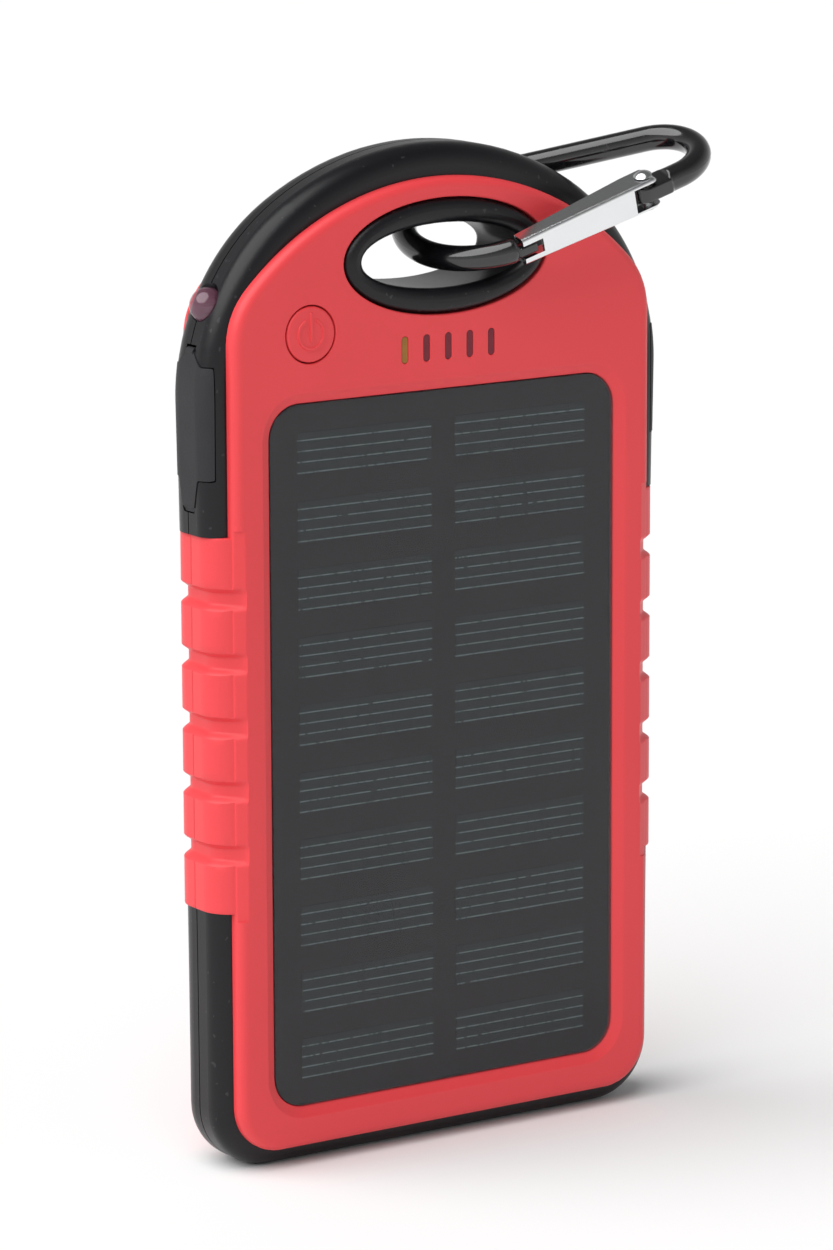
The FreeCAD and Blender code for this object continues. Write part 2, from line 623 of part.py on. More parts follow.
def swept_rod():
    spine_near = Vec(NEAR_TANGENT.x, -NEAR_TANGENT.y, 0)
    spine_far = Vec(FAR_TANGENT.x, -FAR_TANGENT.y, 0)
    edges = [
        Part.Arc(NOSE, Vec(-NEAR_R, 0, 0), spine_near).toShape(),
        Part.makeLine(spine_near, spine_far),
        Part.Arc(spine_far, on_circle(SPAN, FAR_R, 0), FAR_TANGENT).toShape(),
        Part.makeLine(FAR_TANGENT, ROD_END),
    ]
    start = Part.makeCircle(ROD_R, NOSE, Vec(NOSE.y, -NOSE.x, 0))
    return Part.Wire(edges).makePipeShell([Part.Wire(start)], True, False, 2)


def carabiner_body():
    """Rod, flattened end tab with its rivet hole, and the thin nose that the gate closes on."""
    rod = swept_rod()
    tab = Part.makeCylinder(TAB_R, 2 * TAB_HALF, Vec(0, 0, -TAB_HALF))
    neck = box((-TAB_LENGTH - 0.1, 0), (-1.7, 1.7), (-TAB_HALF, TAB_HALF))
    nose = box((GATE_LEN - 2.8, GATE_LEN + 0.6), (-0.4, 1.75), (-0.7, 0.7))
    parts = [tab, neck, nose]
    for part in parts:
        part.Placement = gate_frame()
    hole = Part.makeCylinder(PIN_R, 8, Vec(0, 0, -4))
    hole.Placement = gate_frame()
    return rod.multiFuse(parts).cut(hole).removeSplitter()


def gate_taper(shrink, x, y):
    """Bar along the gate that narrows from the rivet to the nose."""
    wide, narrow = GATE_HALF_W[1] - shrink, GATE_HALF_W[0] - shrink
    corners = [Vec(x[0], y[0], -wide), Vec(x[1], y[0], -narrow), Vec(x[1], y[0], narrow),
               Vec(x[0], y[0], wide)]
    return prism(Part.Wire(Part.makePolygon(corners + corners[:1])), Vec(0, y[1] - y[0], 0))


def carabiner_gate():
    """Folded sheet: two ears at the rivet, a back on the outside, a notch over the nose."""
    wide = GATE_HALF_W[1]
    reach = GATE_LEN - 0.45
    bar = gate_taper(0, (-1.9, reach), (-1.9, 1.9))
    bar = bar.makeFillet(0.55, [e for e in bar.Edges if e.BoundBox.XLength > 20 and e.BoundBox.YMin > 1.8])
    ends = [e for e in bar.Edges if e.BoundBox.ZLength > 2 and e.BoundBox.XMax < -1.8]
    bar = bar.makeFillet(1.6, ends)
    room = gate_taper(SHEET, (-4.0, reach + 2), (-3.0, 1.9 - SHEET))
    over_tab = box((-4.0, 2.7), (0, 3), (-wide + SHEET, wide - SHEET))
    over_nose = box((reach - 3.2, reach + 1), (0, 3), (-1.0, 1.0))
    hole = Part.makeCylinder(PIN_R + PIN_PLAY, 8, Vec(0, 0, -4))
    slope = Part.makePolygon([Vec(2.7, -1.9, -4), Vec(reach + 1, -0.3, -4), Vec(reach + 1, -3, -4),
                              Vec(2.7, -3, -4), Vec(2.7, -1.9, -4)])
    return bar.cut([room, over_tab, over_nose, hole, prism(Part.Wire(slope), Vec(0, 0, 8))])


def gate_pin():
    half = GATE_HALF_W[1] + 0.12
    pin = Part.makeCylinder(PIN_R, 2 * half, Vec(0, 0, -half))
    heads = []
    for side in (-1, 1):
        head = Part.makeSphere(1.9, Vec(0, 0, side * (half - 1.35)))
        head = head.common(box((-2, 2), (-2, 2), (side * half, side * (half + 1))))
        heads.append(head)
    return pin.multiFuse(heads).removeSplitter()


def gate_spring():
    """Torsion spring beside the tab: one turn round the pin and a leg lying in the channel."""
    beside = TAB_HALF + SPRING_WIRE + 0.02
    turn = Part.makeTorus(SPRING_R, SPRING_WIRE, Vec(0, 0, beside))
    return turn.fuse(Part.makeCylinder(SPRING_WIRE, 6.0, Vec(0, -SPRING_R, beside), Vec(1, 0.05, 0)))


def carabiner_nodes():
    """All pieces of the carabiner laid in place."""
    loop = loop_frame()
    nodes = {"carabiner_body": carabiner_body()}
    nodes["carabiner_body"].Placement = loop
    for name, shape in (("carabiner_gate", carabiner_gate()), ("gate_pin", gate_pin()),
                        ("gate_spring", gate_spring())):
        shape.Placement = loop.multiply(gate_frame())
        nodes[name] = shape
    return nodes


def all_nodes():
    nodes = {
        "front_cover": front_cover(),
        "rear_cover": rear_cover(),
        "front_shell": front_shell(),
        "rear_shell": rear_shell(),
        "usb_flap": flap((PORT_Z - 5.75, PORT_Z + 5.9), (-2.3, 2.3)),
        "input_flap": mirror_x(flap((PORT_Z - 3.3, PORT_Z + 3.3), (-0.95, 0.95))),
        "power_button": power_button(),
        "torch_led": torch_led(),
        "indicator_leds": indicator_leds(),
        "main_board": main_board(),
        "case_screws": case_screws(),
    }
    for group in (panel_nodes(), switch_nodes(), light_guides(), socket_nodes(), electronics_nodes(),
                  battery_nodes(), wire_nodes(), carabiner_nodes()):
        nodes.update(group)
    return nodes


if __name__ == "__main__":
    os.makedirs("parts", exist_ok=True)
    for name, shape in all_nodes().items():
        shape.exportStep("parts/" + name + ".step")
        print(name, len(shape.Solids), "solids", round(shape.Volume, 1), "mm3", shape.isValid())
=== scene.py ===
# %% [markdown]
# # A pocket solar charger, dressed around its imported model
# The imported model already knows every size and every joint.  This notebook gives it its looks:
# soft moulded edges, two plastics, a dark solar panel, a lamp, and a carabiner with a bright gate.
# Each step says what the piece is on the real object before the code makes it.

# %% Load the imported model
import math

import bmesh
import bpy
import numpy as np
from mathutils import Matrix, Vector


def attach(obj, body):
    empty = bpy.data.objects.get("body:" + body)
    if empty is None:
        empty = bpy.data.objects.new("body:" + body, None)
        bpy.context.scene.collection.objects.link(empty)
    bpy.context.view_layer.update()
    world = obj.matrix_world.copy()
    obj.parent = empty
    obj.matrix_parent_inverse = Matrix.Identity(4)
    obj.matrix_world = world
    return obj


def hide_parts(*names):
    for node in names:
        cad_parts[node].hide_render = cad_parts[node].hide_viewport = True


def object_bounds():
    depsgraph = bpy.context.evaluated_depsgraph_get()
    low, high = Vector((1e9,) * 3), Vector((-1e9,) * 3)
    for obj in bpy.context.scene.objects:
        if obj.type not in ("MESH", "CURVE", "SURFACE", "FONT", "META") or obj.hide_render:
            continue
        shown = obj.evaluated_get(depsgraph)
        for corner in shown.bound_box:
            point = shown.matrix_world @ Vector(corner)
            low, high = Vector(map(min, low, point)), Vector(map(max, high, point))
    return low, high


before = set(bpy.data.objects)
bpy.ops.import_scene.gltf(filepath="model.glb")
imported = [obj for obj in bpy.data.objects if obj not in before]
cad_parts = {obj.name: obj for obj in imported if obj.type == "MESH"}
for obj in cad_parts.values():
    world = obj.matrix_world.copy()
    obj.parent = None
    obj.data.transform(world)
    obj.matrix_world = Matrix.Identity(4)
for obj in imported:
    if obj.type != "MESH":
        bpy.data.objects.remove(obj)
cad_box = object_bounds()
MM = 0.001

# %% [markdown]
# ## Shader maths as Python
# A node tree is hard to read as clicks.  Wrapping a socket in a small class lets a mask be written
# as an expression, such as `1 - mask * 0.3`, and each operator adds the Math node it stands for.

# %% The socket wrapper
class Value:
    """A shader socket that adds, subtracts, multiplies and compares like a number."""

    def __init__(self, paint, socket):
        self.paint = paint
        self.socket = socket

    def _math(self, operation, *others):
        return self.paint.node("ShaderNodeMath", {"operation": operation}, dict(enumerate(others)))

    def __add__(self, other):
        return self._math("ADD", self, other)

    def __sub__(self, other):
        return self._math("SUBTRACT", self, other)

    def __rsub__(self, other):
        return self._math("SUBTRACT", other, self)

    def __mul__(self, other):
        return self._math("MULTIPLY", self, other)

    def __gt__(self, other):
        return self._math("GREATER_THAN", self, other)

    def __lt__(self, other):
        return self._math("LESS_THAN", self, other)

    def __abs__(self):
        return self._math("ABSOLUTE", self)

    def clamp(self, low=0.0, high=1.0):
        return self._math("MINIMUM", self._math("MAXIMUM", self, low), high)

    def wrap(self, size):
        """What is left after whole steps of the given size are taken away."""
        return self._math("FLOORED_MODULO", self, size)


# %% [markdown]
# ## One class per material
# Each finish below is written with the same few recipes: a cloudy noise, the three object axes,
# a colour mix and a relief.  Keeping them in one class keeps each material to a handful of lines.

# %% The material maker
class Paint:
    """One material and the few node recipes that all the finishes below are written with."""

    def __init__(self, name, color, roughness, **fixed):
        self.material = bpy.data.materials.new(name)
        self.material.use_nodes = True
        self.tree = self.material.node_tree
        self.shader = self.tree.nodes["Principled BSDF"]
        self.shader.inputs["Base Color"].default_value = (*color, 1)
        self.shader.inputs["Roughness"].default_value = roughness
        for socket, value in fixed.items():
            self.shader.inputs[socket.replace("_", " ")].default_value = value
        self.place = self.node("ShaderNodeTexCoord", output="Object")

    def put(self, socket, value):
        if isinstance(value, Value):
            self.tree.links.new(value.socket, socket)
        elif isinstance(value, tuple) and len(value) == 3 and socket.type == "RGBA":
            socket.default_value = (*value, 1)
        else:
            socket.default_value = value

    def node(self, kind, settings=None, inputs=None, output=0):
        made = self.tree.nodes.new(kind)
        for key, value in (settings or {}).items():
            setattr(made, key, value)
        for key, value in (inputs or {}).items():
            self.put(made.inputs[key], value)
        return Value(self, made.outputs[output])

    def feed(self, **sockets):
        for name, value in sockets.items():
            self.put(self.shader.inputs[name.replace("_", " ")], value)

    def noise(self, scale, detail=2.0, roughness=0.5, stretch=(1, 1, 1)):
        """Cloudy value about 0.5; scale is in lumps per metre."""
        where = self.node("ShaderNodeMapping", {}, {"Vector": self.place, "Scale": stretch})
        return self.node("ShaderNodeTexNoise", {}, {"Vector": where, "Scale": scale, "Detail": detail,
                                                    "Roughness": roughness})

    def axes(self):
        """Object coordinates as three separate values, in metres."""
        split = self.tree.nodes.new("ShaderNodeSeparateXYZ")
        self.put(split.inputs[0], self.place)
        return [Value(self, split.outputs[i]) for i in range(3)]

    def mix(self, mask, a, b):
        settings = {"data_type": "RGBA"}
        return self.node("ShaderNodeMix", settings, {0: mask, 6: a, 7: b}, output=2)

    def bump(self, height, distance, strength=1.0):
        """Surface relief: height of 0 to 1 times the distance, in metres."""
        relief = self.node("ShaderNodeBump", {}, {"Height": height, "Distance": distance,
                                                  "Strength": strength})
        self.feed(Normal=relief)


print("shader wrapper ready")

# %% [markdown]
# ## The two case plastics
# The covers and the grips are one smooth satin moulding in a warm coral red that drifts a little
# where the plastic flowed.  The shells are near black with a fine eroded grain that only shows in
# the gloss, and dust leaves a few pale specks on them.

# %% Red satin plastic
def red_plastic():
    paint = Paint("red_satin_plastic", (0.74, 0.050, 0.058), 0.40, Specular_IOR_Level=0.4)
    drift = paint.noise(28, 2)
    grain = paint.noise(5200, 2)
    scuff = paint.noise(900, 4, 0.7, stretch=(1, 1, 0.25))
    paint.feed(Base_Color=paint.mix(drift, (0.71, 0.044, 0.054), (0.78, 0.058, 0.066)),
               Roughness=drift * 0.05 + scuff * 0.08 + grain * 0.05 + 0.34)
    paint.bump(grain, 0.000012, 0.6)
    return paint.material


def black_plastic():
    """Case plastic: near black, satin, with a fine erosion grain and a few pale dust specks."""
    color = (0.0055, 0.0055, 0.007)
    paint = Paint("black_grained_plastic", color, 0.32, Specular_IOR_Level=0.32)
    grain = paint.noise(3800, 3, 0.6)
    cloud = paint.noise(60, 3)
    specks = (paint.noise(1400, 0) > 0.80) * 0.25
    paint.feed(Base_Color=paint.mix(specks, color, (0.09, 0.09, 0.095)),
               Roughness=grain * 0.16 + cloud * 0.10 + 0.20)
    paint.bump(grain, 0.00002, 0.8)
    return paint.material


red = red_plastic()
black = black_plastic()
print("made", red.name, black.name)

# %% [markdown]
# ## Surfaces from whole arrays
# Every new piece starts as a grid of points: rows of rings along one parameter, points round each
# ring along the other.  One helper turns such a grid into a closed skin, and another hands the
# finished piece to the body that carries it.

# %% From a grid of points to a closed skin
def ring_skin(name, grid, loop=False):
    """Closed mesh through a (rings, points, 3) array in millimetres.

    Neighbouring rings are joined by quads.  With loop, the last ring joins the first; otherwise
    the end rings are closed by one flat face each."""
    rings, count = grid.shape[:2]
    r = np.arange(rings if loop else rings - 1)[:, None]
    c = np.arange(count)[None, :]
    after, beside = (r + 1) % rings, (c + 1) % count
    quads = np.stack(np.broadcast_arrays(r * count + c, r * count + beside,
                                         after * count + beside, after * count + c), -1)
    faces = quads.reshape(-1, 4).tolist()
    if not loop:
        faces += [list(range(count)), list(range((rings - 1) * count, rings * count))]
    mesh = bpy.data.meshes.new(name)
    mesh.from_pydata((grid.reshape(-1, 3) * MM).tolist(), [], faces)
    body = bmesh.new()
    body.from_mesh(mesh)
    bmesh.ops.remove_doubles(body, verts=body.verts, dist=1e-7)
    bmesh.ops.recalc_face_normals(body, faces=body.faces)
    body.to_mesh(mesh)
    body.free()
    thing = bpy.data.objects.new(name, mesh)
    bpy.context.scene.collection.objects.link(thing)
    return thing


def apply_modifiers(thing):
    bpy.context.view_layer.update()
    graph = bpy.context.evaluated_depsgraph_get()
    baked = bpy.data.meshes.new_from_object(thing.evaluated_get(graph), depsgraph=graph)
    thing.modifiers.clear()
    thing.data = baked


def carve(thing, operation, *tools):
    """Adds or takes away each tool in turn and deletes it."""
    for tool in tools:
        step = thing.modifiers.new("carve", "BOOLEAN")
        step.operation, step.solver, step.object = operation, "EXACT", tool
        apply_modifiers(thing)
        bpy.data.objects.remove(tool)


def dress(thing, body, material, nodes, sharp=35):
    """Gives a piece its finish and its body, and shades it smooth across edges under sharp degrees."""
    thing.data.materials.clear()
    thing.data.materials.append(material)
    thing.data.polygons.foreach_set("material_index", np.zeros(len(thing.data.polygons), int))
    thing.data.shade_smooth()
    thing.data.set_sharp_from_angle(angle=math.radians(sharp))
    even = thing.modifiers.new("even_shading", "WEIGHTED_NORMAL")
    even.keep_sharp = True
    apply_modifiers(thing)
    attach(thing, body)
    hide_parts(*nodes)
    print(thing.name, len(thing.data.polygons), "faces")


# %% [markdown]
# ## The outline of the case
# Seen from the front, the case is a crown arc, two shoulder arcs, gently leaning sides and rounded
# bottom corners.  A plate with that outline and a window in it is easiest as rings that run round
# both curves together, so each curve is sampled at the same directions from one middle point.

# %% Outline and window as distance by direction
CENTRE_Z = 60.0
HEIGHT = 142.0
CROWN_R = 44.0


def arc(cx, cz, radius, start, end, count=400):
    """Points on a circle from one angle to another, in degrees, anticlockwise from +X."""
    turn = np.radians(np.linspace(start, end, count))
    return np.stack([cx + radius * np.cos(turn), cz + radius * np.sin(turn)], -1)


def dense(curve, count=4000):
    """The same curve with evenly spaced points, so that straight runs have points too."""
    run = np.concatenate([[0], np.cumsum(np.hypot(*np.diff(curve, axis=0).T))])
    steps = np.linspace(0, run[-1], count)
    return np.stack([np.interp(steps, run, curve[:, 0]), np.interp(steps, run, curve[:, 1])], -1)


def case_outline(half, half_low, low, high, shoulder, corner, inset):
    """Half outline from the top to the bottom: crown arc, shoulder arc, side, corner arc.

    The shoulder circle touches the crown circle from inside and the side at its widest point."""
    crown_z = high - CROWN_R
    sx = half - shoulder
    sz = crown_z + math.sqrt((CROWN_R - shoulder) ** 2 - sx ** 2)
    lean = math.degrees(math.atan2(sz - crown_z, sx))
    turn = np.linspace(0, 1, 400)[:, None]
    crown = arc(0, crown_z, CROWN_R - inset, 90, lean)
    bend = arc(sx, sz, shoulder - inset, lean, 0)
    bow = 0.25 * np.sin(np.pi * turn) * (half - half_low)
    side = np.hstack([half - inset - (half - half_low) * turn - bow, sz + (low + corner - sz) * turn])
    foot = arc(half_low - corner, low + corner, corner - inset, 0, -90)
    middle = np.array([[0, low + inset]])
    return dense(np.vstack([crown, bend, side, foot, middle]))


def window_outline(grow):
    """Half of the panel's rounded rectangle, grown outwards, from the top to the bottom."""
    half, low, high, r = 28.8 + grow, 8.5 - grow, 108.0 + grow, max(4.8 + grow, 1.0)
    top = arc(half - r, high - r, r, 90, 0)
    foot = arc(half - r, low + r, r, 0, -90)
    return dense(np.vstack([[[0, high]], top, foot, [[0, low]]]))


def by_direction(curve, bearings):
    """Distance of a half outline from the middle point, read off at each bearing from straight up."""
    x, z = curve[:, 0], curve[:, 1] - CENTRE_Z
    return np.interp(np.abs(bearings), np.arctan2(x, z), np.hypot(x, z))


def bearings_of(curve, spacing):
    """Bearings of evenly spaced points along a half outline."""
    length = np.hypot(*np.diff(curve, axis=0).T).sum()
    x, z = dense(curve, int(length / spacing) + 1).T
    return np.arctan2(x, z - CENTRE_Z)


def loop_points(radii, bearings, depth):
    """Ring of points from distances and bearings at one depth."""
    x, z = radii * np.sin(bearings), CENTRE_Z + radii * np.cos(bearings)
    return np.stack([x, np.full_like(radii, depth), z], -1)


cover_shape = dict(half=34.8, half_low=34.8, low=2.7, high=137.5, shoulder=11.0, corner=7.0)
half_turn = np.unique(np.round(np.concatenate([bearings_of(case_outline(**cover_shape, inset=0), 1.2),
                                               bearings_of(window_outline(0), 1.5),
                                               np.linspace(0, np.pi, 90)]), 3))
half_turn = half_turn[np.concatenate([[True], np.diff(half_turn) > 0.004])]
half_turn[-1] = np.pi
round_turn = np.concatenate([half_turn, -half_turn[-2:0:-1]])
print("ring of", len(round_turn), "points")

# %% [markdown]
# ## Front cover: a plate with a window
# The cover is a 2 mm plate with a rounded outer edge and a border that slopes down to the panel.
# Its section is one closed profile carried round the outline, so the slope, the flat and the outer
# rounding are all one continuous skin.

# %% The plate as one closed profile
FACE_Y = 7.0
FRONT_EDGE_R = 1.4
LIP_DEPTHS = (-5.3, -5.0)


def inset_ring(shape, inset, depth):
    return loop_points(by_direction(case_outline(**shape, inset=inset), round_turn), round_turn, depth)


def window_ring(grow, depth):
    return loop_points(by_direction(window_outline(grow), round_turn), round_turn, depth)


def edge_rings(shape, radius, face, side):
    """Quarter round from the face to the side: inset falls as r(1 - sin a), depth as r(1 - cos a)."""
    return [inset_ring(shape, radius * (1 - math.sin(t)), face - side * radius * (1 - math.cos(t)))
            for t in np.linspace(0, np.pi / 2, 9)]


def between(first, last, count):
    """Rings spread evenly between two rings, without the two themselves."""
    share = np.linspace(0, 1, count + 2)[1:-1]
    return [first + (last - first) * s for s in share]


BORDER = ((0.0, -5.0), (0.0, -6.02), (0.02, -6.10), (0.10, -6.17), (0.25, -6.25), (0.6, -6.44),
          (0.95, -6.64), (1.2, -6.79), (1.32, -6.87), (1.42, -6.94), (1.52, -6.98), (1.66, -7.0))


def front_plate():
    """Window wall, sloping border, flat face, rounded edge, side and flat back, joined in a loop."""
    border = [window_ring(grow, depth) for grow, depth in BORDER]
    edge = edge_rings(cover_shape, FRONT_EDGE_R, -FACE_Y, -1)
    lip = [inset_ring(cover_shape, 0.0, depth) for depth in LIP_DEPTHS]
    rings = border + between(border[-1], edge[0], 6) + edge + lip + between(lip[-1], border[0], 4)
    return ring_skin("front_cover_skin", np.stack(rings), loop=True)


# %% [markdown]
# ## Finger grips
# Both long sides carry a grip that wraps round the case, with five soft troughs across it.  Each
# grip is a bar whose section is a quarter round, a flat side and a straight inside.  The troughs
# are one carving tool per side: a wavy sheet that dips into the bar five times.

# %% Grip bar and its carving tool
GRIP_Z = (37.6, 90.4)
GROOVE_PITCH = 8.97
GROOVE_MIDDLE = 63.9
GROOVES = 5
GROOVE_MOUTH = 1.75      # half height of a trough at the skin
GROOVE_FLOOR = 0.62      # half height of its floor
GROOVE_DEPTH = 1.1
GRIP_SIDE_X = 37.5
GRIP_INSIDE_X = 33.5
GRIP_ROUND = 4.5
GRIP_FLAT = 1.8
SEAM_Y = 0.3


def grip_bar(side, sign, meet, ledge):
    """Bar along Z: its section goes round the outside and back along the inside wall."""
    a = np.linspace(np.pi / 2, 0, 24)
    seam_x = [GRIP_SIDE_X, GRIP_SIDE_X - 0.06, GRIP_SIDE_X - 0.2, GRIP_INSIDE_X, GRIP_INSIDE_X]
    x = np.concatenate([GRIP_SIDE_X - GRIP_ROUND + GRIP_ROUND * np.cos(a), seam_x])
    y = np.concatenate([GRIP_FLAT + GRIP_ROUND * np.sin(a), [meet * sign + 0.16, meet * sign + 0.04,
                                                             meet * sign, meet * sign, ledge]]) * sign
    ends = 0.2
    z = np.array([GRIP_Z[0], GRIP_Z[0] + 0.06, GRIP_Z[0] + ends, *np.linspace(38.2, 89.8, 30),
                  GRIP_Z[1] - ends, GRIP_Z[1] - 0.06, GRIP_Z[1]])
    shrink = np.clip(ends - np.minimum(z - z[0], z[-1] - z), 0, ends)
    pull = ends - np.sqrt(ends ** 2 - shrink ** 2)
    middle = np.array([35.0, y.mean()])
    toward = (middle - np.stack([x, y], -1))
    toward /= np.maximum(np.hypot(*toward.T), 1e-6)[:, None]
    flat = np.stack([x, y], -1)[None] + toward[None] * pull[:, None, None]
    grid = np.stack([side * flat[..., 0], flat[..., 1], np.broadcast_to(z[:, None], flat.shape[:2])], -1)
    return ring_skin("grip_bar", grid)


def groove_share(z):
    """Depth of the troughs along Z: 1 on each floor, 0 at each mouth, with rounded corners."""
    away = np.abs((z - GROOVE_MIDDLE + GROOVE_PITCH / 2) % GROOVE_PITCH - GROOVE_PITCH / 2)
    ramp = np.clip((GROOVE_MOUTH - away) / (GROOVE_MOUTH - GROOVE_FLOOR), 0, 1)
    inside = np.abs(z - GROOVE_MIDDLE) < GROOVES / 2 * GROOVE_PITCH
    return np.where(inside, ramp * ramp * (3 - 2 * ramp), 0)


def groove_tool(side):
    """Everything outside the wavy sheet.

    The sheet's section is a quarter turn from the side to the face and a mirror image behind it,
    just outside the grip's skin.  Its radius grows towards the face so that the plate is spared,
    and falls by a trough's depth times the cube-rooted cosine of the angle."""
    z = np.linspace(GRIP_Z[0] - 1, GRIP_Z[1] + 1, 420)
    share = groove_share(z)[:, None]
    angle = np.linspace(np.pi / 2, 0, 26)[None]
    radius = GRIP_ROUND + 0.05 + 0.78 * (angle / (np.pi / 2)) ** 6
    radius = radius - share * GROOVE_DEPTH * np.cbrt(np.cos(angle))
    x = GRIP_SIDE_X - GRIP_ROUND + radius * np.cos(angle)
    y = -GRIP_FLAT - radius * np.sin(angle)
    rows = np.stack([np.hstack([x, x[:, ::-1]]), np.hstack([y, -y[:, ::-1]])], -1)
    outer = np.broadcast_to(np.array([[42.0, 9.0], [42.0, -9.0]]), (len(z), 2, 2))
    flat = np.concatenate([rows, outer], 1)
    grid = np.stack([side * flat[..., 0], flat[..., 1], np.broadcast_to(z[:, None], flat.shape[:2])], -1)
    return ring_skin("groove_tool", grid)


# %% [markdown]
# ## Holes in the front cover
# The oval collar, the power button and five light slots come through the cover.  A hole in a
# moulding always has a small rounded lip, so each cutting tool widens like a trumpet at the face.

# %% Flared cutting tools
EYE = (0.0, 126.6)
EYE_HOLE = (16.92, 8.12)
EYE_LIP = 0.25
TOOL_END = 4.0           # depth at which the cutting tools stop, inside the case
BUTTON = (-22.4, 117.5)
BUTTON_HOLE_R = 4.05
SLOT_XS = 0.2 + 3.6 * (np.arange(5) - 2)
SLOT_Z = (112.1, 115.9)
SLOT_W = 1.1


def flare(lip, face, far):
    """Growth and depth of a tool from beyond the face to the far side, through a quarter round."""
    a = np.linspace(0, np.pi / 2, 6)
    out = 1 if face > far else -1
    rings = [(lip * 1.6, face + out * 0.3)]
    rings += [(lip * (1 - math.sin(t)), face - out * lip * (1 - math.cos(t))) for t in a]
    return rings + [(0.0, far)]


def oval_tool(centre, radii, lip, face, far):
    count = 160
    t = np.linspace(0, 2 * np.pi, count, endpoint=False)
    rings = [np.stack([centre[0] + (radii[0] + g) * np.cos(t), np.full(count, y),
                       centre[1] + (radii[1] + g) * np.sin(t)], -1) for g, y in flare(lip, face, far)]
    return ring_skin("oval_tool", np.stack(rings))


def slot_tool(x, lip, face, far):
    """Upright slot with half-circle ends, as rings that grow evenly all round."""
    t = np.linspace(0, np.pi, 13)
    straight = (SLOT_Z[1] - SLOT_Z[0] - SLOT_W) / 2
    middle = (SLOT_Z[0] + SLOT_Z[1]) / 2
    rings = []
    for g, y in flare(lip, face, far):
        r = SLOT_W / 2 + g
        top = np.stack([x + r * np.cos(t), np.full(13, y), middle + straight + r * np.sin(t)], -1)
        low = np.stack([x - r * np.cos(t), np.full(13, y), middle - straight - r * np.sin(t)], -1)
        rings.append(np.vstack([top, low]))
    return ring_skin("slot_tool", np.stack(rings))


front = front_plate()
carve(front, "UNION", *[grip_bar(side, -1, SEAM_Y, -5.2) for side in (-1, 1)])
carve(front, "DIFFERENCE", *[groove_tool(side) for side in (-1, 1)])
carve(front, "DIFFERENCE", oval_tool(EYE, EYE_HOLE, EYE_LIP, -FACE_Y, -TOOL_END),
      oval_tool(BUTTON, (BUTTON_HOLE_R, BUTTON_HOLE_R), 0.18, -FACE_Y, -TOOL_END),
      *[slot_tool(x, 0.15, -FACE_Y, -TOOL_END) for x in SLOT_XS])
dress(front, "case", red, ["front_cover"])

# %% [markdown]
# ## Rear cover
# The back has the same outline and the same grips, without the window.

# %% The back plate
REAR_EDGE_R = 1.2
REAR_FOOT_Y = 5.6
CORE_SHRINK = 14.0       # how far inside the window the innermost ring of a flat face lies


def rear_plate():
    """Rounded plate: the rings shrink to a small rectangle on each side, closed by one face."""
    core = window_ring(-CORE_SHRINK, FACE_Y)
    edge = edge_rings(cover_shape, REAR_EDGE_R, FACE_Y, 1)
    foot = inset_ring(cover_shape, 0.0, REAR_FOOT_Y)
    under = window_ring(-CORE_SHRINK, REAR_FOOT_Y)
    rings = [core] + between(core, edge[0], 5) + edge + [foot] + between(foot, under, 3) + [under]
    return ring_skin("rear_cover_skin", np.stack(rings))


rear = rear_plate()
carve(rear, "UNION", *[grip_bar(side, 1, SEAM_Y, 5.8) for side in (-1, 1)])
carve(rear, "DIFFERENCE", *[groove_tool(side) for side in (-1, 1)])
carve(rear, "DIFFERENCE", oval_tool(EYE, EYE_HOLE, EYE_LIP, FACE_Y, TOOL_END))
dress(rear, "case", red, ["rear_cover"])

# %% [markdown]
# ## Solar panel
# The panel is a sandwich: a black board, twenty thin silicon wafers in two columns, and a clear
# laminate over them.  Each wafer carries four silver collector lines that stand a hair above the
# silicon.  A wafer's section along Z is a profile with four ridges, carried straight across.

# %% Wafers with raised collector lines
CELL_W, CELL_H, CELL_PITCH, CELL_TOP = 22.0, 5.8, 9.53, 103.9
CELL_LEFTS = (-24.0, 2.0)
CELL_ROWS = 10
LINES_BELOW_TOP = np.array([1.1, 2.6, 4.1, 5.6])
LINE_W = 0.16
CELL_FACE_Y, CELL_BACK_Y = -5.85, -5.76


def wafer(left, top):
    """Flat bar whose front rises by a ridge on each collector line."""
    edges = (LINES_BELOW_TOP[:, None] + LINE_W * np.array([-0.6, -0.4, 0.4, 0.6])).ravel()
    below = np.concatenate([[0.0, 0.05], edges, [CELL_H - 0.05, CELL_H]])
    rise = np.concatenate([[0, 0.02], np.tile([0.02, 0.03, 0.03, 0.02], 4), [0.02, 0]])
    face, back = CELL_FACE_Y - rise, np.full_like(rise, CELL_BACK_Y)
    x = np.array([left, left + CELL_W])
    y = np.stack([face, face, back, back], -1)
    grid = np.stack([np.broadcast_to([x[0], x[1], x[1], x[0]], y.shape), y,
                     np.broadcast_to((top - below)[:, None], y.shape)], -1)
    return ring_skin("solar_wafer", grid)


def join(name, things):
    with bpy.context.temp_override(active_object=things[0], object=things[0],
                                   selected_editable_objects=things):
        bpy.ops.object.join()
    things[0].name = name
    return things[0]


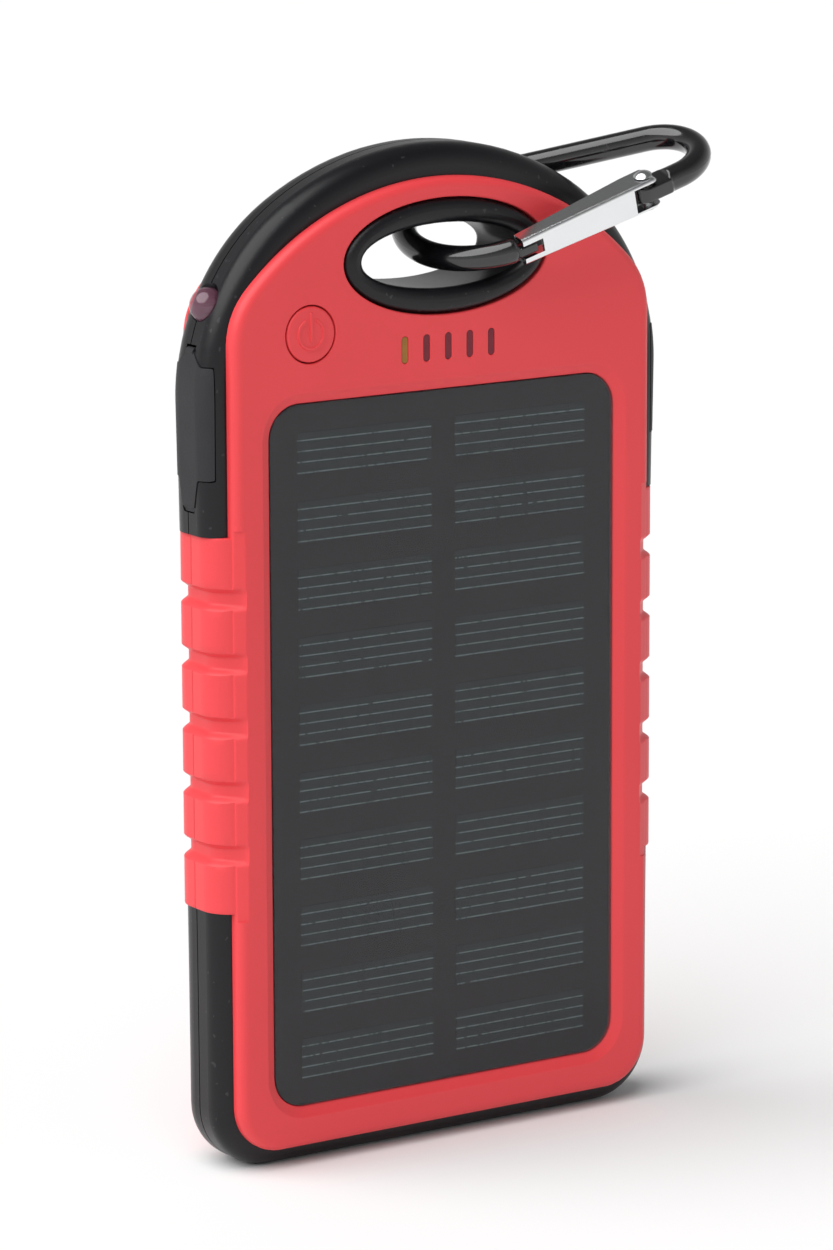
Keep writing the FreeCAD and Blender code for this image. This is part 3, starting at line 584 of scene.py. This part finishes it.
def silicon():
    """Coated silicon: dark teal with faint fingers, and the four collector lines a little broken."""
    paint = Paint("coated_silicon", (0.012, 0.026, 0.032), 0.32, Specular_IOR_Level=0.12)
    x, _, z = paint.axes()
    below = ((CELL_TOP + 100 * CELL_PITCH) * MM - z).wrap(CELL_PITCH * MM)
    phase = (below - (LINES_BELOW_TOP[0] - 0.75) * MM).wrap(1.5 * MM) - 0.75 * MM
    line = (abs(phase) < LINE_W * 0.5 * MM) * (paint.noise(2600, 1, stretch=(1, 1, 0.1)) > 0.40)
    finger = (x.wrap(0.9 * MM) < 0.12 * MM) * 0.35
    cloud = paint.noise(240, 3)
    base = paint.mix(cloud, (0.008, 0.019, 0.024), (0.017, 0.034, 0.040))
    base = paint.mix(finger, base, (0.035, 0.065, 0.07))
    paint.feed(Base_Color=paint.mix(line, base, (0.34, 0.46, 0.46)), Roughness=cloud * 0.1 + 0.4)
    return paint.material


tops = CELL_TOP - CELL_PITCH * np.arange(CELL_ROWS)
cells = join("solar_wafers", [wafer(left, top) for left in CELL_LEFTS for top in tops])
dress(cells, "case", silicon(), ["solar_cells"], sharp=20)

# %% [markdown]
# ## The panel's clear cover and board
# The laminate is clear and glossy with a softened edge.  It lets the board and the wafers show
# through and lays a thin reflection over them.

# %% Clear cover and board
def panel_slab(name, shrink, front, back, soften):
    """Rounded rectangle slab: rings from the middle of the face out, over a soft edge, and back."""
    a = np.linspace(0, np.pi / 2, 5)
    rings = [window_ring(-CORE_SHRINK, front), window_ring(-shrink - soften, front)]
    rings += [window_ring(-shrink - soften * (1 - math.sin(t)), front + soften * (1 - math.cos(t)))
              for t in a[1:]]
    rings += [window_ring(-shrink, back), window_ring(-CORE_SHRINK, back)]
    return ring_skin(name, np.stack(rings))


def laminate():
    paint = Paint("clear_panel_laminate", (0.006, 0.006, 0.009), 0.16, Alpha=0.30,
                  Specular_IOR_Level=0.9, Coat_Weight=0.5, Coat_Roughness=0.08)
    smear = paint.noise(40, 2, 0.5)
    paint.feed(Roughness=smear * 0.06 + 0.14)
    return paint.material


def board_black():
    paint = Paint("panel_board_black", (0.009, 0.006, 0.010), 0.5, Specular_IOR_Level=0.08)
    weave = paint.noise(9000, 1)
    paint.feed(Base_Color=paint.mix(weave, (0.010, 0.006, 0.011), (0.011, 0.007, 0.012)),
               Roughness=weave * 0.1 + 0.5)
    return paint.material


cover = panel_slab("panel_clear_cover", 0.1, -6.3, -5.9, 0.12)
dress(cover, "case", laminate(), ["solar_panel_cover"])
board = panel_slab("panel_board", 0.15, -5.75, -5.15, 0.05)
dress(board, "case", board_black(), ["solar_panel_board"])

# %% [markdown]
# ## Power button
# The button is a round cap with the usual power sign standing a little proud of it: a ring that
# is open at the top and a bar through the gap.  The cap's face is a polar grid whose depth is the
# distance to the sign passed through a soft step, so the sign has rounded shoulders.

# %% The cap and its sign
BUTTON_R = 3.85
SIGN_RING = 2.02
SIGN_HALF_W = 0.19
SIGN_RISE = 0.2
SIGN_BAR = (-1.0, 3.0)
SIGN_GAP = 0.8
SIGN_STEP = 0.08
CAP_Y = -7.1
CAP_EDGE_R = 0.35


def sign_rise(x, z):
    """Height of the sign: full inside the ring or the bar, falling over a narrow soft step."""
    ring = np.abs(np.hypot(x, z) - SIGN_RING) - SIGN_HALF_W
    ring = np.where(z > 0, np.maximum(ring, SIGN_GAP - np.abs(x)), ring)
    middle = (SIGN_BAR[0] + SIGN_BAR[1]) / 2
    reach = (SIGN_BAR[1] - SIGN_BAR[0]) / 2 - SIGN_HALF_W
    bar = np.hypot(x, np.maximum(np.abs(z - middle) - reach, 0)) - SIGN_HALF_W - 0.03
    step = np.clip(0.5 - np.minimum(ring, bar) / SIGN_STEP, 0, 1)
    return SIGN_RISE * step * step * (3 - 2 * step)


def button_cap():
    """Polar grid over the face, then the soft edge, the skirt, the flange and the stalk."""
    a = np.linspace(0, np.pi / 2, 7)[1:]
    flat_r = BUTTON_R - CAP_EDGE_R
    face_r = np.concatenate([[0.02], np.arange(0.06, 3.3, 0.045), [3.4, flat_r]])
    face_y = np.full_like(face_r, CAP_Y)
    radii = np.concatenate([face_r, flat_r + CAP_EDGE_R * np.sin(a), [BUTTON_R, 4.6, 4.6, 1.2, 1.2]])
    depth = np.concatenate([face_y, CAP_Y + CAP_EDGE_R * (1 - np.cos(a)), [-4.9, -4.9, -4.3, -4.3, -1.1]])
    t = np.linspace(0, 2 * np.pi, 300, endpoint=False)[None]
    x, z = radii[:, None] * np.sin(t), radii[:, None] * np.cos(t)
    rise = np.where(radii[:, None] < 3.45, sign_rise(x, z), 0)
    grid = np.stack([BUTTON[0] + x, depth[:, None] - rise, BUTTON[1] + z], -1)
    return ring_skin("power_button_cap", grid)


dress(button_cap(), "button", red, ["power_button"], sharp=50)

# %% [markdown]
# ## Torch lamp
# A 5 mm lamp sits in the left shoulder: a clear epoxy bullet with a collar at its foot, two leads,
# and on one of them a little cup that holds the chip.  Turned parts are one profile of radius
# against reach, spun about the lamp's own slanting axis, with both ends closed at the axis.

# %% Turned parts on the lamp's axis
LAMP_AXIS = np.array([-0.825, 0.0, 0.565]) / math.hypot(0.825, 0.565)
LAMP_ACROSS = np.array([0.0, 1.0, 0.0])
LAMP_UP = np.cross(LAMP_AXIS, LAMP_ACROSS)
CROWN_CENTRE = np.array([0.0, 0.0, HEIGHT - CROWN_R])
LAMP_R = 2.5
LAMP_DOME = 41.9         # reach of the dome's centre
LEAD_FOOT = 31.6


def turned(name, radii, reach, aside=0.0, count=64):
    """Profile spun about the lamp's axis: centre + axis * reach + radius * (cos, sin)."""
    t = np.linspace(0, 2 * np.pi, count, endpoint=False)
    around = np.cos(t)[:, None] * LAMP_ACROSS + np.sin(t)[:, None] * LAMP_UP
    radii, reach = np.asarray(radii, float), np.asarray(reach, float)
    grid = CROWN_CENTRE + reach[:, None, None] * LAMP_AXIS + radii[:, None, None] * around[None]
    return ring_skin(name, grid + aside * LAMP_ACROSS)


def lamp_body():
    a = np.linspace(0, np.pi / 2, 20)
    radii = np.concatenate([[0.02, 2.8, 2.9, 2.9, 2.8, LAMP_R, LAMP_R], LAMP_R * np.cos(a)[:-1], [0.02]])
    reach = np.concatenate([[35.4, 35.4, 35.5, 36.3, 36.4, 36.4, 41.0],
                            LAMP_DOME + LAMP_R * np.sin(a)[:-1], [LAMP_DOME + LAMP_R]])
    return turned("lamp_bullet", radii, reach)


def lamp_leads():
    """A cup on a post and a thinner post beside it, each a closed turned part."""
    cup = turned("lamp_cup", [0.02, 0.25, 0.25, 0.5, 1.0, 1.05, 0.95, 0.45, 0.02],
                 [LEAD_FOOT, LEAD_FOOT, 38.0, 38.4, 39.8, 39.85, 39.75, 39.0, 39.0], -0.55, 32)
    post = turned("lamp_post", [0.02, 0.25, 0.25, 0.4, 0.4, 0.02],
                  [LEAD_FOOT, LEAD_FOOT, 38.8, 39.2, 39.6, 39.6], 1.0, 24)
    chip = turned("lamp_chip", [0.02, 0.40, 0.40, 0.02], [39.02, 39.02, 39.35, 39.4], -0.55, 16)
    return join("lamp_leads", [cup, post, chip])


def lamp_epoxy():
    """Clear epoxy with a rosy cast that swirls between a deeper and a paler pink."""
    paint = Paint("rosy_clear_epoxy", (0.30, 0.10, 0.16), 0.06, Alpha=0.42, Specular_IOR_Level=1.0,
                  Coat_Weight=1.0, Coat_Roughness=0.02)
    swirl = paint.noise(500, 3)
    paint.feed(Base_Color=paint.mix(swirl, (0.16, 0.05, 0.09), (0.34, 0.14, 0.21)),
               Roughness=swirl * 0.08 + 0.02)
    return paint.material


def plated_metal(name, color, rough):
    """Plated metal: fine drawn lines along Z and cloudy gloss."""
    paint = Paint(name, color, rough, Metallic=1.0)
    drawn = paint.noise(2500, 3, 0.6, stretch=(1, 1, 0.08))
    cloud = paint.noise(90, 3)
    darker = tuple(c * 0.86 for c in color)
    paint.feed(Base_Color=paint.mix(cloud, darker, color),
               Roughness=drawn * 0.12 + cloud * 0.08 + (rough - 0.08))
    paint.bump(drawn, 0.000004, 0.5)
    return paint.material


dress(lamp_body(), "case", lamp_epoxy(), ["torch_led"], sharp=40)
silvered = plated_metal("silvered_lead", (0.85, 0.84, 0.82), 0.25)
dress(lamp_leads(), "case", silvered, ["torch_led"], sharp=40)

# %% [markdown]
# ## Carabiner rod
# The carabiner is one steel rod bent round two circles and painted gloss black.  One end is
# pressed flat into a tab for the rivet and the other ends in a thin nose.  The rod is a profile
# carried along its middle line: the section goes from a small box at the nose through a round
# wire to the flat tab, all in one skin.

# %% The loop's frame and middle line
ROD_R = 1.8
NEAR_R = 11.4
FAR_R = 6.4
SPAN = 25.9
LOOP_AT = np.array([11.2, 0.4, 130.5])
NOSE_BACK = 2.0
RIVET_BACK = 5.7
TAB_LENGTH = 3.6
TAB_END = 2.0            # how far the tab reaches past the rivet
TAB_HALF_W, TAB_HALF_THICK = 1.95, 1.2
NOSE_HALF_W, NOSE_HALF_THICK = 1.05, 0.68
TANGENT = math.pi / 2 - math.asin((NEAR_R - FAR_R) / SPAN)
loop_long = np.array([0.926, -0.293, 0.274])
loop_long /= np.linalg.norm(loop_long)
loop_front = np.array([-0.215, -0.914, -0.305])
loop_front -= loop_long * (loop_front @ loop_long)
loop_front /= np.linalg.norm(loop_front)
loop_normal = np.cross(loop_long, loop_front)


def on_circle(centre_x, radius, angle):
    return np.stack([centre_x + radius * np.cos(angle), radius * np.sin(angle)], -1)


def run_along(first, last, spacing):
    count = max(int(np.linalg.norm(last - first) / spacing), 2)
    share = np.linspace(0, 1, count + 1)[:, None]
    return first + (last - first) * share


near_tangent = on_circle(0, NEAR_R, np.array(TANGENT))
far_tangent = on_circle(SPAN, FAR_R, np.array(TANGENT))
gate_side = (near_tangent - far_tangent) / np.linalg.norm(near_tangent - far_tangent)
nose_angle = TANGENT + NOSE_BACK / NEAR_R
nose = on_circle(0, NEAR_R, np.array(nose_angle))
rivet = far_tangent + gate_side * RIVET_BACK
gate_way = (nose - rivet) / np.linalg.norm(nose - rivet)
gate_length = float(np.linalg.norm(nose - rivet))
print("gate length", round(gate_length, 2), "mm")


def rod_line():
    """Middle line: nose, large bend, straight back, small bend, and the tab past the rivet."""
    start = nose - gate_way * 2.8
    flip = np.array([1.0, -1.0])
    bend = on_circle(0, NEAR_R, np.linspace(nose_angle, 2 * math.pi - TANGENT, 170))
    back = run_along(near_tangent * flip, far_tangent * flip, 0.5)
    turn = on_circle(SPAN, FAR_R, np.linspace(-TANGENT, TANGENT, 70))
    nose_part = start + (nose - start) * np.array([0, 0.02, 0.06, 0.2, 0.5, 0.8, 0.93, 0.97, 0.985])[:, None]
    tab = run_along(far_tangent, rivet, 0.15)
    end = rivet + gate_side * (TAB_END * np.sin(np.linspace(0, np.pi / 2, 16)))[:, None]
    return np.vstack([nose_part, bend, back[1:], turn[1:], tab[1:], end[1:]]), len(nose_part), len(end) - 1


def rod_skin():
    """Section at each step: a superellipse with its own half width, half thickness and squareness.

    Half width lies in the loop's plane and half thickness across it; a square section has a low
    exponent.  The nose's section is also shifted outwards, and the tab's width follows a circle."""
    line, nose_rows, end_rows = rod_line()
    step = np.gradient(line, axis=0)
    step /= np.linalg.norm(step, axis=1)[:, None]
    out = np.stack([step[:, 1], -step[:, 0]], -1)
    out *= np.sign((out[0] @ nose))
    run = np.concatenate([[0], np.cumsum(np.linalg.norm(np.diff(line, axis=0), axis=1))])
    total = run[-1]
    rows = len(line)
    wide, thick, square = np.full(rows, ROD_R), np.full(rows, ROD_R), np.ones(rows)
    shift = np.zeros(rows)
    before_rivet = total - TAB_END - run
    flat = np.clip((TAB_LENGTH + 0.25 - before_rivet) / 0.5, 0, 1)
    flat = flat * flat * (3 - 2 * flat)
    thick += (TAB_HALF_THICK - ROD_R) * flat
    wide += (TAB_HALF_W - ROD_R) * flat
    square -= 0.72 * flat
    past = np.clip(-before_rivet, 0, TAB_END)[-end_rows:] * TAB_HALF_W / TAB_END
    wide[-end_rows:] = np.sqrt(np.maximum(TAB_HALF_W ** 2 - past ** 2, 0.01))
    tip = np.arange(rows) < nose_rows
    wide[tip], thick[tip] = NOSE_HALF_W, NOSE_HALF_THICK
    square[tip], shift[tip] = 0.3, NOSE_HALF_THICK
    wide[:2] -= [0.15, 0.05]
    thick[:2] -= [0.15, 0.05]
    wide[nose_rows], thick[nose_rows] = ROD_R - 0.25, ROD_R - 0.25
    wide[nose_rows + 1], thick[nose_rows + 1] = ROD_R - 0.06, ROD_R - 0.06
    t = np.linspace(0, 2 * np.pi, 56, endpoint=False)[None]
    c, s = np.cos(t), np.sin(t)
    power = square[:, None]
    a = wide[:, None] * np.sign(c) * np.abs(c) ** power + shift[:, None]
    b = thick[:, None] * np.sign(s) * np.abs(s) ** power
    flat_points = line[:, None, :] + a[..., None] * out[:, None, :]
    grid = LOOP_AT + flat_points[..., :1] * loop_long + flat_points[..., 1:] * loop_front
    return ring_skin("carabiner_rod", grid + b[..., None] * loop_normal)


def rod_paint():
    """Gloss black enamel: slightly wavy, with a few rubbed spots."""
    paint = Paint("black_rod_enamel", (0.006, 0.006, 0.007), 0.16, Specular_IOR_Level=0.6, Coat_Weight=0.5,
                  Coat_Roughness=0.08)
    wave = paint.noise(260, 3, 0.6)
    rub = (paint.noise(900, 3) > 0.66) * 0.5
    paint.feed(Base_Color=paint.mix(rub, (0.006, 0.006, 0.007), (0.022, 0.022, 0.024)),
               Roughness=wave * 0.12 + rub * 0.2 + 0.10)
    paint.bump(wave, 0.00002, 0.5)
    return paint.material


enamel = rod_paint()
dress(rod_skin(), "carabiner", enamel, ["carabiner_body"], sharp=38)

# %% [markdown]
# ## Soft copies of stamped and moulded parts
# The flaps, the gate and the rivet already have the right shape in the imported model, but their
# edges are perfectly sharp.  A real edge always catches a line of light, so each of them is a
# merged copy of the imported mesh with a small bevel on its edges.

# %% Copies with softened edges
def softened(node, name, width, body, material):
    """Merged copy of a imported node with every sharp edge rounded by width, in millimetres."""
    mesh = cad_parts[node].data.copy()
    shape = bmesh.new()
    shape.from_mesh(mesh)
    bmesh.ops.remove_doubles(shape, verts=shape.verts, dist=2e-6)
    bmesh.ops.dissolve_limit(shape, angle_limit=math.radians(1.0), verts=shape.verts, edges=shape.edges)
    shape.to_mesh(mesh)
    shape.free()
    thing = bpy.data.objects.new(name, mesh)
    bpy.context.scene.collection.objects.link(thing)
    soft = thing.modifiers.new("soft_edges", "BEVEL")
    soft.width = width * MM
    soft.segments = 3
    soft.limit_method = "ANGLE"
    soft.angle_limit = math.radians(38)
    soft.use_clamp_overlap = True
    dress(thing, body, material, [node])


def flap_rubber():
    """Soft matt rubber: grey black, with a fine pitted skin that catches dust."""
    paint = Paint("flap_soft_rubber", (0.012, 0.012, 0.014), 0.62, Specular_IOR_Level=0.4)
    pits = paint.noise(4200, 3, 0.6)
    cloud = paint.noise(150, 3)
    paint.feed(Base_Color=paint.mix(cloud, (0.009, 0.009, 0.011), (0.022, 0.022, 0.025)),
               Roughness=pits * 0.2 + 0.5)
    paint.bump(pits, 0.00004, 0.9)
    return paint.material


rubber = flap_rubber()
chrome = plated_metal("bright_chrome", (0.83, 0.84, 0.85), 0.16)
softened("usb_flap", "usb_flap_skin", 0.2, "usb_flap", rubber)
softened("input_flap", "input_flap_skin", 0.2, "input_flap", rubber)
softened("carabiner_gate", "gate_sheet", 0.1, "gate", chrome)
softened("gate_pin", "gate_rivet", 0.05, "carabiner", chrome)

# %% [markdown]
# ## Finishes for the parts that stay as packed
# The shells, lenses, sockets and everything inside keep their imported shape.  Most of the inside is
# never seen, but each piece still gets the finish that it has on the bench: green solder mask,
# foil round the cell, gold on the contacts.

# %% Small materials for small parts
def wear(material, *nodes):
    for node in nodes:
        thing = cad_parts[node]
        thing.data.materials.clear()
        thing.data.materials.append(material)


def mottled(name, dark, light, scale, rough, relief=0.00001, **fixed):
    """Plain finish with its own mottle: a colour between dark and light, and a fine relief."""
    paint = Paint(name, dark, rough, **fixed)
    spots = paint.noise(scale, 3, 0.6)
    paint.feed(Base_Color=paint.mix(spots, dark, light), Roughness=spots * 0.15 + (rough - 0.07))
    paint.bump(spots, relief, 0.6)
    return paint.material


def solder_mask():
    """Green lacquer with paler tracks: thin bands along X and Z under the gloss."""
    paint = Paint("green_solder_mask", (0.01, 0.09, 0.03), 0.3)
    x, _, z = paint.axes()
    tracks = ((x.wrap(2.4 * MM) < 0.3 * MM) * (paint.noise(180, 1) > 0.52)
              + (z.wrap(1.8 * MM) < 0.25 * MM) * (paint.noise(230, 1) > 0.55)).clamp()
    paint.feed(Base_Color=paint.mix(tracks, (0.008, 0.075, 0.026), (0.02, 0.15, 0.05)),
               Roughness=tracks * 0.1 + 0.25)
    paint.bump(tracks, 0.00003, 0.5)
    return paint.material


wear(black, "front_shell", "rear_shell")
wear(mottled("amber_lens", (0.26, 0.11, 0.015), (0.36, 0.17, 0.03), 900, 0.3, Specular_IOR_Level=0.3),
     "charge_light_guide")
wear(mottled("smoked_red_lens", (0.13, 0.010, 0.020), (0.19, 0.018, 0.030), 900, 0.3,
             Specular_IOR_Level=0.3), "level_light_guide")
wear(plated_metal("socket_nickel", (0.66, 0.65, 0.62), 0.28),
     "usb_socket_shell", "micro_usb_shell", "case_screws", "gate_spring")
wear(plated_metal("contact_gold", (0.83, 0.62, 0.25), 0.24), "usb_contacts")
wear(mottled("socket_tongue_plastic", (0.55, 0.55, 0.53), (0.66, 0.66, 0.64), 1800, 0.45),
     "usb_socket_tongue", "micro_usb_tongue", "switch_plunger")
wear(solder_mask(), "main_board", "battery_protection_board")
wear(mottled("chip_resin", (0.012, 0.012, 0.012), (0.03, 0.03, 0.03), 3500, 0.6),
     "board_chips", "boost_inductor", "button_switch")
wear(mottled("capacitor_ceramic", (0.30, 0.20, 0.11), (0.42, 0.30, 0.18), 2200, 0.5), "board_capacitors")
wear(mottled("cell_foil", (0.48, 0.49, 0.51), (0.60, 0.61, 0.63), 420, 0.36, 0.00004, Metallic=0.9),
     "battery_cell")
wear(mottled("adhesive_foam", (0.42, 0.42, 0.39), (0.58, 0.58, 0.55), 2600, 0.9, 0.00008),
     "battery_pad", "panel_adhesive")
wear(mottled("red_wire_sleeve", (0.30, 0.01, 0.01), (0.40, 0.02, 0.02), 1600, 0.45),
     "battery_wires", "solar_wires")
wear(mottled("clear_led_resin", (0.65, 0.62, 0.55), (0.78, 0.76, 0.70), 1500, 0.2), "indicator_leds")
print("packed nodes dressed")

# %% [markdown]
# ## Light, floor and camera
# A pale floor in a white room that is dimmer overhead, with one wide patch of brighter sky from the
# upper left, which lifts the grips and draws a soft line along the round edges.

# %% Studio
CAMERA_AIM = Vector((-0.0007, 0.0, 0.0735))
CAMERA_AZIMUTH = math.radians(33.55)
CAMERA_ELEVATION = math.radians(11.46)
CAMERA_ROLL = math.radians(0.22)
CAMERA_DISTANCE = 0.770
CAMERA_LENS = 157.4


def studio_camera():
    """Camera at its distance from the aim point, looking back down its own line of sight."""
    level = math.cos(CAMERA_ELEVATION)
    ahead = Vector((math.sin(CAMERA_AZIMUTH) * level, math.cos(CAMERA_AZIMUTH) * level,
                    -math.sin(CAMERA_ELEVATION)))
    right = Vector((math.cos(CAMERA_AZIMUTH), -math.sin(CAMERA_AZIMUTH), 0))
    up = right.cross(ahead)
    turn = Matrix.Rotation(CAMERA_ROLL, 3, ahead)
    basis = Matrix((turn @ right, turn @ up, -ahead)).transposed()
    lens = bpy.data.cameras.new("studio_camera")
    lens.lens = CAMERA_LENS
    lens.sensor_width = 36.0
    camera = bpy.data.objects.new("studio_camera", lens)
    camera.matrix_world = Matrix.Translation(CAMERA_AIM - ahead * CAMERA_DISTANCE) @ basis.to_4x4()
    bpy.context.scene.collection.objects.link(camera)
    bpy.context.scene.camera = camera


def soft_sun(name, toward, strength, spread):
    """Even light from a wide patch of sky, spread degrees across, so that shadows stay faint."""
    light = bpy.data.lights.new(name, "SUN")
    light.energy = strength
    light.angle = math.radians(spread)
    lamp = bpy.data.objects.new(name, light)
    lamp.rotation_euler = Vector(toward).to_track_quat("Z", "Y").to_euler()
    bpy.context.scene.collection.objects.link(lamp)


def floor():
    """Square of pale paper just under the charger."""
    half = 3.0
    mesh = bpy.data.meshes.new("paper_floor")
    low = cad_box[0][2]
    corners = [(-half, -half, low), (half, -half, low), (half, half, low), (-half, half, low)]
    mesh.from_pydata(corners, [], [(0, 1, 2, 3)])
    sheet = bpy.data.objects.new("paper_floor", mesh)
    bpy.context.scene.collection.objects.link(sheet)
    paint = Paint("white_paper", (0.9, 0.9, 0.9), 0.9)
    sheet.data.materials.append(paint.material)


def world_glow(level, overhead):
    """White room: as bright as level round the horizon, falling smoothly to overhead at the top."""
    world = bpy.data.worlds.new("studio_white")
    world.use_nodes = True
    tree = world.node_tree
    place = tree.nodes.new("ShaderNodeTexCoord")
    split = tree.nodes.new("ShaderNodeSeparateXYZ")
    fade = tree.nodes.new("ShaderNodeMapRange")
    for socket, value in zip(fade.inputs[1:5], (0.05, 0.75, level, overhead)):
        socket.default_value = value
    tree.links.new(place.outputs["Generated"], split.inputs[0])
    tree.links.new(split.outputs[2], fade.inputs[0])
    tree.links.new(fade.outputs[0], tree.nodes["Background"].inputs["Strength"])
    tree.nodes["Background"].inputs["Color"].default_value = (1, 1, 1, 1)
    bpy.context.scene.world = world


studio_camera()
floor()
world_glow(0.78, 0.14)
soft_sun("sky_left", (-0.58, -0.05, 0.82), 3.4, 70)
bpy.context.scene.view_settings.view_transform = "Standard"
print("camera", tuple(round(c, 3) for c in bpy.context.scene.camera.location))
